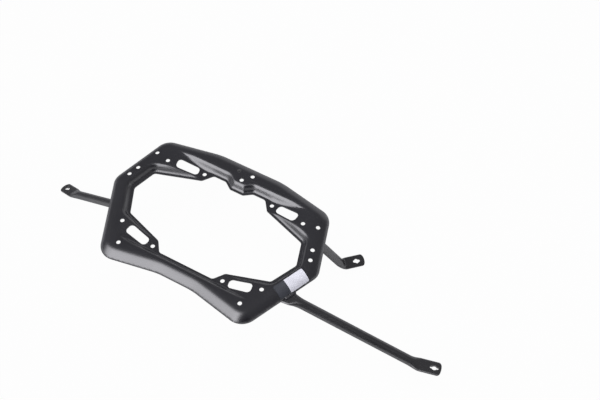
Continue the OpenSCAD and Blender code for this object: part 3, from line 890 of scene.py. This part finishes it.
@dataclass
class Strut:
    """A tube whose bolt end is pressed flat and pierced."""

    name: str
    root: Point
    bend: Point
    bolt: Point
    rim_from: Plan
    rim_to: Plan
    lean_deg: float = 0.0
    tube_d: float = 18.0
    clear_of: Sequence[Plan] = ()
    wall: float = 2.0
    sheet_fit: float = 0.3
    buried: float = 24.0
    flat_t: float = 6.0
    taper_l: float = 26.0
    end_margin: float = 14.0
    hole_d: float = 11.0
    slot_l: float = 18.0
    slot_w: float = 6.0
    squareness: float = 0.55
    tip_round: float = 0.55
    tip_sweep_deg: float = 86.0
    tip_fore: float = 0.85
    tip_side: float = 0.8
    tip_thin: float = 0.45
    edge_round: float = 0.2
    taper_past: float = 0.4
    bore_past: float = 2.0
    bore_short: float = 0.7
    cutter_l: float = 40.0
    half_round: int = 24
    around: int = 56
    tube_rings: int = 12
    taper_rings: int = 24
    tip_rings: int = 14
    thin_rings: int = 3
    sharp_deg: float = 38.0

    def directions(self) -> tuple[Array, Array, Array]:
        """Works out which ways the strut runs.

        Returns:
            The tube's direction, the flat end's direction and the way its face looks.
        """
        root, bend, bolt = (np.array(p, dtype=float) for p in (self.root, self.bend, self.bolt))
        along, flat = unit(bend - root), unit(bolt - bend)
        return along, flat, leaned(flat, self.lean_deg)

    def trim(self, piece: Piece, sheet: PressedSheet, fit: float) -> None:
        """Cuts a piece to the room between the flange and the opening's wall.

        Args:
            piece: the strut or its bead.
            sheet: the pressed sheet.
            fit: clearance from the sheet.
        """
        cut(piece, under_sheet(sheet, self.rim_from, self.rim_to, self.sheet_fit), "INTERSECT")
        edges = list(zip(self.clear_of, self.clear_of[1:]))
        if len(edges) == 1:
            cut(piece, beside_wall(sheet, *edges[0], fit))
        elif edges:
            corner = beside_wall(sheet, *edges[0], fit)
            cut(corner, beside_wall(sheet, *edges[1], fit), "INTERSECT")
            cut(piece, corner)

    def flat_width(self) -> float:
        """Width to which the tube spreads when it is pressed flat."""
        return math.pi * (self.tube_d - self.wall) / 2 + self.wall - self.flat_t * self.edge_round

    def squashed(self, centre: Array, side: Array, face: Array, half_w: float, half_t: float,
                 share: float) -> Array:
        """A ring of the tube, partly or wholly pressed flat.

        Args:
            centre: middle of the ring.
            side: direction of its width.
            face: direction of its thickness.
            half_w: half its width.
            half_t: half its thickness.
            share: 0 for a round ring and 1 for a pressed one.
        Returns:
            The ring's points, one a row.
        """
        w = np.arange(self.around) * 2 * math.pi / self.around
        u, v, p = np.cos(w), np.sin(w), 1 + (self.squareness - 1) * share
        a = half_w * np.sign(u) * np.abs(u) ** p
        b = half_t * np.sign(v) * np.abs(v) ** p
        return centre + np.outer(a, side) + np.outer(b, face)

    def pressed_end(self, root: Array, bend: Array, bolt: Array, face: Array, past: float) -> list[Array]:
        """Rings from the round tube to the rounded tip of a pressed end.

        Args:
            root: a point back along the tube.
            bend: where the tube meets its flat end.
            bolt: the bolt hole, or the middle of the end's round.
            face: direction that the flat faces.
            past: share of the taper that lies beyond the bend.
        Returns:
            The rings in order.
        """
        along, flat = unit(bend - root), unit(bolt - bend)
        side_b = unit(np.cross(face, flat))
        face_b = np.cross(flat, side_b)
        side_a = unit(np.cross(face_b, along))
        face_a = np.cross(along, side_a)
        r, half = self.tube_d / 2, self.flat_width() / 2
        start, stop = bend - along * self.taper_l * (1 - past), bend + flat * self.taper_l * past
        tip = bolt + flat * (self.end_margin - half * self.tip_round)
        rings = []
        for k in range(self.taper_rings + 1):
            t = k / self.taper_rings
            e = t * t * (3 - 2 * t)
            centre = start * (1 - t) ** 2 + bend * 2 * t * (1 - t) + stop * t * t
            side, out = unit(side_a + (side_b - side_a) * t), unit(face_a + (face_b - face_a) * t)
            half_w, half_t = r + (half - r) * e, r + (self.flat_t / 2 - r) * e
            rings.append(self.squashed(centre, side, out, half_w, half_t, e))
        for k in range(1, self.tip_rings + 1):
            w = math.radians(self.tip_sweep_deg * k / self.tip_rings)
            edge = 1 - self.tip_thin * max(0.0, (k - self.tip_rings + self.thin_rings) / self.thin_rings) ** 2
            centre = tip + flat * half * self.tip_round * math.sin(w) ** self.tip_fore
            half_w, half_t = half * math.cos(w) ** self.tip_side, self.flat_t / 2 * edge
            rings.append(self.squashed(centre, side_b, face_b, half_w, half_t, 1))
        return rings

    def bolt_cutter(self, bolt: Array, flat: Array, face: Array) -> list[Piece]:
        """Makes the cutters for the bolt hole and the narrow slot through it.

        Args:
            bolt: middle of the bolt hole.
            flat: direction of the flattened end.
            face: direction that the flat faces.
        Returns:
            The two cutters.
        """
        side = unit(np.cross(face, flat))
        normal = np.cross(flat, side)
        place = Matrix.Translation(bolt) @ Matrix((flat, side, normal)).transposed().to_4x4()
        steps = [k * math.pi / self.half_round for k in range(2 * self.half_round)]
        disc = [(self.hole_d / 2 * math.cos(w), self.hole_d / 2 * math.sin(w)) for w in steps]
        r, half = self.slot_w / 2, (self.slot_l - self.slot_w) / 2
        slot = [((half if math.cos(w) >= 0 else -half) + r * math.cos(w), r * math.sin(w)) for w in steps]
        return [prism("hole", disc, self.cutter_l, place), prism("slot", slot, self.cutter_l, place)]

    def bore(self, start: Array, end: Array) -> Piece:
        """Makes the cutter for the inside of the tube.

        Args:
            start: middle of one end.
            end: middle of the other.
        Returns:
            The cutter.
        """
        along = unit(end - start)
        side = unit(np.cross(along, ASKEW))
        out = np.cross(along, side)
        r = self.tube_d / 2 - self.wall
        rings = [self.squashed(c, side, out, r, r, 0) for c in (start, end)]
        return ringed("bore", rings)

    def build(self, sheet: PressedSheet) -> Piece:
        """Makes the tube, opens it, and trims its root to the sheet.

        Args:
            sheet: the pressed sheet that its root fits under.
        Returns:
            The strut.
        """
        root, bend, bolt = (np.array(p, dtype=float) for p in (self.root, self.bend, self.bolt))
        along, flat, face = self.directions()
        rings = self.pressed_end(root, bend, bolt, face, self.taper_past)
        side = unit(np.cross(unit(np.cross(flat, unit(np.cross(face, flat)))), along))
        out = np.cross(along, side)
        start = root - along * self.buried
        stretch = float(np.linalg.norm(bend - start)) - self.taper_l * (1 - self.taper_past)
        r, n = self.tube_d / 2, self.tube_rings
        tube = [self.squashed(start + along * stretch * k / n, side, out, r, r, 0) for k in range(n)]
        piece = ringed(self.name, tube + rings, self.sharp_deg)
        stop = bend - along * self.taper_l * self.bore_short
        cut(piece, self.bore(start - along * self.bore_past, stop))
        for tool in self.bolt_cutter(bolt, flat, face):
            cut(piece, tool)
        self.trim(piece, sheet, self.sheet_fit)
        shade(piece, self.sharp_deg)
        return piece


@dataclass
class LongStrut(Strut):
    """The strut whose root is pressed flat as well, and slides under the rim."""

    root_l: float = 30.0
    root_past: float = 0.1
    span_rings: int = 14

    def build(self, sheet: PressedSheet) -> Piece:
        """Makes the tube with its two pressed ends.

        Args:
            sheet: the pressed sheet that its root slides under.
        Returns:
            The strut.
        """
        root = np.array((self.root[0], self.root[1], -sheet.rim_drop - self.sheet_fit - self.flat_t / 2))
        bend, bolt = np.array(self.bend, dtype=float), np.array(self.bolt, dtype=float)
        along, flat = unit(bend - root), unit(bolt - bend)
        face = leaned(flat, self.lean_deg)
        inward = unit((root[0] - bend[0], root[1] - bend[1], 0))
        tip = root + inward * (self.root_l - self.end_margin)
        rear = self.pressed_end(bend, root, tip, np.array((0.0, 0.0, 1.0)), self.root_past)[::-1]
        front = self.pressed_end(root, bend, bolt, face, self.taper_past)
        rear = [self.aligned(ring, front[0], along) for ring in rear]
        span = [rear[-1] + (front[0] - rear[-1]) * k / self.span_rings for k in range(1, self.span_rings)]
        piece = ringed(self.name, rear + span + front, self.sharp_deg)
        for tool in self.bolt_cutter(bolt, flat, face):
            cut(piece, tool)
        shade(piece, self.sharp_deg)
        return piece

    @staticmethod
    def aligned(ring: Array, like: Array, along: Array) -> Array:
        """The ring's points turned round to run the same way as another ring's.

        Args:
            ring: the ring to renumber.
            like: the ring to match.
            along: the tube's direction; not used.
        Returns:
            The same points in matching order.
        """
        centred, target = ring - ring.mean(0), like - like.mean(0)
        best = min(((float(((np.roll(way, k, axis=0) - target) ** 2).sum()), k, n)
                    for n, way in enumerate((centred, centred[::-1])) for k in range(len(ring))))
        return np.roll(ring if best[2] == 0 else ring[::-1], best[1], axis=0)


@dataclass
class CollarWeld:
    """A rippled weld bead round a strut's root."""

    name: str
    strut: Strut
    leg: float = 4.0
    tube_fit: float = 0.05
    wall_fit: float = 1.1
    ripples: int = 26
    ripple: float = 0.07
    wavers: int = 5
    waver: float = 0.04
    sharp_deg: float = 50.0
    steps: int = 120
    section: Sequence[Plan] = ((0.0, 0.0), (1.2, 0.0), (1.02, 1.4), (0.62, 2.5), (0.22, 3.4), (0.0, 4.0))

    def build(self, sheet: PressedSheet) -> Piece:
        """Turns the bead round the tube and trims it to the sheet.

        Args:
            sheet: the pressed sheet that the bead lies against.
        Returns:
            The bead.
        """
        root = np.array(self.strut.root, dtype=float)
        along, _, face = self.strut.directions()
        side = unit(np.cross(along, face))
        out = np.cross(along, side)
        start = root - along * self.leg
        inner = self.strut.tube_d / 2 + self.tube_fit
        rings = []
        for k in range(self.steps):
            w = 2 * math.pi * k / self.steps
            swell = 1 + self.ripple * math.cos(w * self.ripples) + self.waver * math.cos(w * self.wavers + 1)
            radial = side * math.cos(w) + out * math.sin(w)
            rings.append(np.array([start + radial * (inner + self.leg * a * swell) + along * self.leg * b
                                   for a, b in self.section]))
        piece = ringed(self.name, rings, self.sharp_deg, closed=True)
        self.strut.trim(piece, sheet, self.wall_fit)
        shade(piece, self.sharp_deg)
        return piece


@dataclass
class RimWeld:
    """A rippled weld bead in the corner between the rim and the long strut's root."""

    name: str
    strut: LongStrut
    leg: float = 4.0
    fit: float = 0.3
    edge_fit: float = 0.1
    face_fit: float = 0.2
    corner_rise: float = 0.5
    toe: Plan = (0.72, 0.42)
    crown: Plan = (0.3, 0.68)
    head: float = 0.97
    ripples: float = 62.0
    ripple: float = 0.07
    end_taper: float = 0.35
    sharp_deg: float = 50.0
    steps: int = 60

    def build(self, sheet: PressedSheet) -> Piece:
        """Runs the bead along the rim.

        Args:
            sheet: the pressed sheet whose rim it follows.
        Returns:
            The bead.
        """
        reach, turn = edge_frame(self.strut.rim_from, self.strut.rim_to)
        r, low = sheet.flange_r, sheet.rim_drop
        lie = reach - sheet.flange_run + math.sqrt(r ** 2 - (r - low + self.leg) ** 2)
        place = -math.sin(turn) * self.strut.root[0] + math.cos(turn) * self.strut.root[1]
        length = self.strut.flat_width() - self.leg
        spin = Matrix.Rotation(turn, 3, "Z")
        rings = []
        inner = reach + self.edge_fit
        for k in range(self.steps + 1):
            s = k / self.steps
            swell = 1 + self.ripple * math.cos(s * self.ripples)
            g = self.leg * (swell * (1 - self.end_taper * abs(2 * s - 1) ** 6))
            profile = [(inner, self.fit - low), (reach + g, self.fit - low),
                       (reach + g * self.toe[0], g * self.toe[1] - low),
                       (reach + g * self.crown[0], g * self.crown[1] - low),
                       (lie + self.face_fit, g * self.head - low), (inner, self.corner_rise - low)]
            rings.append(np.array([spin @ Vector((x, place + length * (s - 0.5), z)) for x, z in profile]))
        return ringed(self.name, rings, self.sharp_deg)


@dataclass
class FlangeLabel:
    """A blank label in two tones, stuck on the crest and wrapped down the flange."""

    name: str = "label"
    start: float = 21.0
    length: float = 69.0
    white_l: float = 43.5
    flat_w: float = 3.5
    wrap_deg: float = 56.0
    thick: float = 0.3
    lift: float = 0.25
    corner_r: float = 3.0
    corner_steps: int = 6
    edge_step: float = 1.5
    line_points: int = 24
    line_gap: float = 0.7
    fill_from: Plan = (1.6, 1.2)
    fill_step: Plan = (2.0, 1.2)
    fill_edge: float = 1.0
    sharp_deg: float = 40.0

    def build(self, sheet: PressedSheet) -> Piece:
        """Bends a thin rounded sheet over the flange.

        Args:
            sheet: the pressed sheet that it lies on.
        Returns:
            The label, with the white field in slot 0 and the dark field in slot 1.
        """
        q = sheet.rim_top[0]
        reach, turn = edge_frame(sheet.rim_low[1], q)
        reach -= sheet.flange_run
        from_end = -math.sin(turn) * q[0] - self.start
        width = self.flat_w + sheet.flange_r * math.radians(self.wrap_deg)
        r = self.corner_r
        corners = [(0, 0, r), (self.length, 0, r), (self.length, width, r), (0, width, r)]
        plan = Outline(corners, self.corner_steps).divided(self.edge_step)
        line = [(self.white_l, y) for y in np.linspace(0, width, self.line_points)]
        columns, rows = (np.arange(start, size - self.fill_edge, step) for start, size, step
                         in zip(self.fill_from, (self.length, width), self.fill_step))
        fill = [(x, y) for x in columns for y in rows if abs(x - self.white_l) > self.line_gap]
        points = [Vector(v) for v in [*plan, *line, *fill]]
        edges = [(k, (k + 1) % len(plan)) for k in range(len(plan))]
        edges += [(len(plan) + k, len(plan) + k + 1) for k in range(len(line) - 1)]
        verts, _, faces, *_ = delaunay_2d_cdt(points, edges, [], INSIDE_ONLY, JOIN_WITHIN, False)
        flat = np.array([tuple(v) for v in verts])
        spin = np.array(Matrix.Rotation(turn, 3, "Z"))

        def bent(up: float) -> Array:
            """Bends the label's points over the flange.

            Args:
                up: height above the sheet.
            Returns:
                The bent points, one a row.
            """
            s = flat[:, 1] - self.flat_w
            w = np.clip(s, 0, None) / sheet.flange_r
            x = reach + np.where(s < 0, s, (sheet.flange_r + up) * np.sin(w))
            z = np.where(s < 0, up, (sheet.flange_r + up) * np.cos(w) - sheet.flange_r)
            return np.c_[x, from_end - flat[:, 0], z] @ spin.T

        n = len(flat)
        tris = [list(f) for f in faces]
        there = {(f[k], f[(k + 1) % len(f)]) for f in tris for k in range(len(f))}
        walls = [[b, a, a + n, b + n] for a, b in there if (b, a) not in there]
        both = np.concatenate([bent(self.lift + self.thick), bent(self.lift)])
        under = [[v + n for v in reversed(f)] for f in tris]
        made = mesh_object(self.name, both, [*tris, *under, *walls], self.sharp_deg)
        tidy_normals(made)
        for face in made.data.polygons:
            middle = np.mean([flat[v % n, 0] for v in face.vertices])
            face.material_index = 0 if middle < self.white_l else 1
        shade(made, self.sharp_deg)
        return made


# Studio

@dataclass
class Studio:
    """Camera, floor and light."""

    camera_at: Point = (0.5786, -0.7111, 1.5086)
    looks: Point = (-0.2513, 0.4714, -0.8453)
    up: Point = (-0.4048, 0.7421, 0.5343)
    lens: float = 52.21
    sensor: float = 36.0
    clip: Span = (0.05, 50.0)
    floor_z: float = -0.149
    floor_x: Span = (-2.4, 2.4)
    floor_y: Span = (-1.2, 3.2)
    floor_colour: Sequence[float] = (0.50, 0.50, 0.51, 1.0)
    white_share: float = 0.97
    box_strength: float = 2.5
    box_top_deg: Span = (9.0, 21.0)
    box_foot_deg: Span = (95.0, 118.0)
    box_left: Span = (-0.92, -0.6)
    box_right: Span = (-0.04, 0.14)
    box_grade: Span = (-0.6, -0.1)
    box_fall: float = 0.25
    rear: Span = (0.75, 0.95)
    flag_x: Span = (-0.1, 0.15)
    flag_y: Span = (-0.5, -0.25)
    room_strength: float = 0.10
    rear_strength: float = 0.3
    dark_side_strength: float = 0.015
    light_colour: Sequence[float] = (0.965, 0.955, 1.0, 1.0)
    top_watts: float = 41.0
    top_size: float = 2.4
    top_light_at: Point = (0.1, 0.3, 2.2)

    def camera(self) -> None:
        """Sets the camera where the photograph was taken from."""
        data = bpy.data.cameras.new("camera")
        data.lens = self.lens
        data.sensor_width = self.sensor
        data.clip_start, data.clip_end = self.clip
        made = bpy.data.objects.new("camera", data)
        back = -Vector(self.looks).normalized()
        right = Vector(self.up).cross(back).normalized()
        rise = back.cross(right)
        turn = Matrix((right, rise, back)).transposed().to_4x4()
        made.matrix_world = Matrix.Translation(self.camera_at) @ turn
        bpy.context.collection.objects.link(made)
        bpy.context.scene.camera = made

    def floor(self) -> None:
        """Lays a pale floor that shows white to the camera and keeps a soft shadow."""
        (x0, x1), (y0, y1) = self.floor_x, self.floor_y
        verts = np.array([(x, y, self.floor_z) for x, y in ((x0, y0), (x1, y0), (x1, y1), (x0, y1))]) / MM
        made = mesh_object("floor", verts, [[0, 1, 2, 3]])
        paint, f = blank_material("pale_floor")
        seen = f.node("ShaderNodeLightPath", output="Is Camera Ray")
        lit = f.node("ShaderNodeBsdfDiffuse", inputs={"Color": self.floor_colour})
        glow = f.node("ShaderNodeEmission", inputs={"Color": WHITE, "Strength": 1.0})
        both = f.node("ShaderNodeMixShader", inputs={0: seen * self.white_share, 1: lit, 2: glow})
        f.node("ShaderNodeOutputMaterial", inputs={"Surface": both})
        made.data.materials.append(paint)

    def top_light(self) -> None:
        """Hangs a broad soft lamp overhead that fills the colours and makes no highlight of its own."""
        data = bpy.data.lights.new("top_light", "AREA")
        data.size = self.top_size
        data.energy = self.top_watts
        made = bpy.data.objects.new("top_light", data)
        made.location = self.top_light_at
        made.visible_glossy = False
        bpy.context.collection.objects.link(made)

    def world(self) -> None:
        """A white room to the camera, and one broad soft box on the near side for the light."""
        made = bpy.data.worlds.new("studio")
        bpy.context.scene.world = made
        made.use_nodes = True
        f = Finish(made.node_tree)
        way = f.node("ShaderNodeTexCoord", output="Generated")
        node = f.node("ShaderNodeSeparateXYZ", inputs={0: way}).socket.node
        x, y, z = (Value(f, node.outputs[k]) for k in range(3))
        angle = f.node("ShaderNodeMath", {"operation": "ARCTAN2"}, {0: y * -1.0, 1: z})
        top, foot = map(math.radians, self.box_top_deg), map(math.radians, self.box_foot_deg)
        front = angle.between(*top) * (1 - angle.between(*foot))
        across = (1 - x.between(*self.box_right)) * x.between(*self.box_left)
        graded = across * (x.between(*self.box_grade) * self.box_fall + (1 - self.box_fall))
        rear = y.between(*self.rear) * self.rear_strength
        flagged = x.between(*self.flag_x) * (1 - y.between(*self.flag_y))
        room = (1 - flagged) * self.room_strength + self.dark_side_strength
        glow = front * graded * self.box_strength + rear + room
        lit = f.node("ShaderNodeBackground", inputs={"Color": self.light_colour, "Strength": glow})
        white = f.node("ShaderNodeBackground", inputs={"Color": WHITE, "Strength": 1.0})
        seen = f.node("ShaderNodeLightPath", output="Is Camera Ray")
        both = f.node("ShaderNodeMixShader", inputs={0: seen, 1: lit, 2: white})
        f.node("ShaderNodeOutputWorld", inputs={"Surface": both})

    def build(self) -> None:
        """Sets up the whole studio."""
        bpy.context.scene.view_settings.view_transform = "Standard"
        self.camera()
        self.floor()
        self.top_light()
        self.world()


def main() -> None:
    """Builds the pieces in order."""
    logging.basicConfig(level=logging.INFO, format="%(message)s")
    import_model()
    sheet = PressedSheet()
    coat = CoatFinish().material()
    tube_coat = CoatFinish("satin_tube_coat", (0.012, 0.012, 0.014), (0.018, 0.018, 0.021)).material()
    bead_coat = CoatFinish("coated_weld", roughness=0.38, peel_mm=2.2, peel_depth=0.12).material()
    white = FilmFinish("white_film", (0.78, 0.78, 0.86)).material()
    dark = FilmFinish("dark_film", (0.055, 0.058, 0.07)).material()

    fit_in(RingPlate(sheet).build(), Slot.POWDER_COAT, [coat], "ring_plate")

    end, top, low, mid = (corner[:2] for corner in (*sheet.rim_top[:2], sheet.rim_low[1], sheet.rim_top[2]))
    open_end, open_top, tab, foot = (corner[:2] for corner in sheet.open_top[:4])
    open_low = sheet.open_low[-1][:2]

    def left(*corners: Plan) -> list[Plan]:
        """The corners mirrored to the ring's left half."""
        return [(-x, y) for x, y in corners]

    struts = [
        LongStrut("long_tube", (220, -65.5, 0), (478, -37, -104), (515, -29.5, -101.5), low, end,
                  lean_deg=6, tube_d=20.0),
        Strut("end_tube", (-182, -49, -15.5), (-336.5, -37, -97.5), (-369, -29, -111.5), *left(end, low),
              lean_deg=-4, clear_of=left(open_end, open_low)),
        Strut("right_boss_tube", (201, 62.5, -2.5), (247.5, 101, -126.5), (270, 126.5, -133.5), end, top,
              lean_deg=-15, clear_of=(open_end, open_top, tab), end_margin=17.5),
        Strut("left_boss_tube", (-117, 126, -2.5), (-93.5, 166, -100), (-73, 203, -121), *left(mid, top),
              clear_of=[foot, *left(foot)]),
    ]
    nodes = ("long_strut", "end_strut", "right_boss_strut", "left_boss_strut")
    for strut, node in zip(struts, nodes):
        fit_in(strut.build(sheet), Slot.TUBE_COAT, [tube_coat], node)
    beads = [RimWeld("long_tube_bead", struts[0])]
    beads += [CollarWeld(f"{s.name}_bead", s) for s in struts[1:]]
    for bead, node in zip(beads, nodes):
        fit_in(bead.build(sheet), Slot.TUBE_COAT, [bead_coat], f"{node}_weld")
    fit_in(FlangeLabel().build(sheet), Slot.LABEL_FILM, [white, dark], "blank_label")
    Studio().build()


if __name__ == "__main__":
    main()
